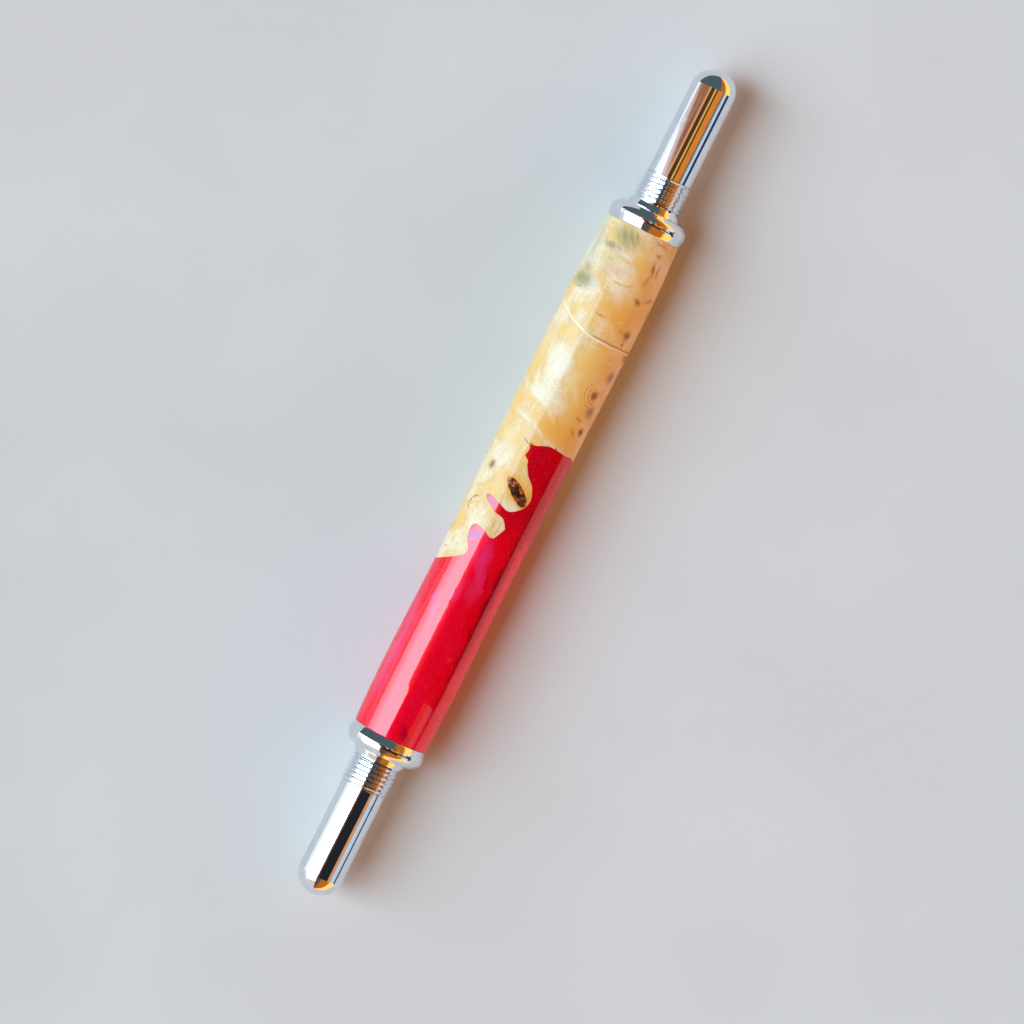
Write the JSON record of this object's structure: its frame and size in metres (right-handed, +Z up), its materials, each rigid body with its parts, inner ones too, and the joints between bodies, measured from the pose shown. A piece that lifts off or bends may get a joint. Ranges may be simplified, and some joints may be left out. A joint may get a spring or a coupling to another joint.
{
  "type": "seam ripper",
  "caption": "Round turned wood and resin handle with a threaded, capped ripper blade unit stowed in each end; each unit unscrews and draws out.",
  "frame": {"origin": "on the surface that the tool lies on, under the middle of its length", "axes": "+X along the handle towards the wood end, +Z up"},
  "size_m": [0.1396, 0.0128, 0.0128],
  "materials": {
    "burl_wood": "pale honey burl with cream figure and small knots, under a high gloss clear finish",
    "red_resin": "pearl resin, polished",
    "brass": "drawn tube",
    "chrome": "mirror polished plating",
    "plated_bush": "satin plated thread",
    "blade_steel": "ground and polished steel",
    "red_plastic": "moulded, glossy"
  },
  "bodies": {
    "handle": {"wood_barrel": "burl_wood", "resin_barrel": "red_resin", "barrel_tube": "brass", "large_collar_ring": "chrome", "small_collar_ring": "chrome", "large_thread_bush": "plated_bush", "small_thread_bush": "plated_bush"},
    "large_cap": {"large_end_cap": "chrome"},
    "large_ripper": {"large_carrier": "chrome", "large_blade": "blade_steel", "large_safety_ball": "red_plastic"},
    "small_cap": {"small_end_cap": "chrome"},
    "small_ripper": {"small_carrier": "chrome", "small_blade": "blade_steel", "small_safety_ball": "red_plastic"}
  },
  "joints": [
    {"name": "large_draw", "type": "slide", "parent": "handle", "child": "large_cap", "axis": [1, 0, 0], "range_m": [0, 0.046]},
    {"name": "large_turn", "type": "hinge", "parent": "large_cap", "child": "large_ripper", "pos_m": [0.05, 0, 0.0064], "axis": [1, 0, 0], "range_deg": [0, 2208]},
    {"name": "small_draw", "type": "slide", "parent": "handle", "child": "small_cap", "axis": [-1, 0, 0], "range_m": [0, 0.039]},
    {"name": "small_turn", "type": "hinge", "parent": "small_cap", "child": "small_ripper", "pos_m": [-0.05, 0, 0.0064], "axis": [-1, 0, 0], "range_deg": [0, 2208]}
  ]
}
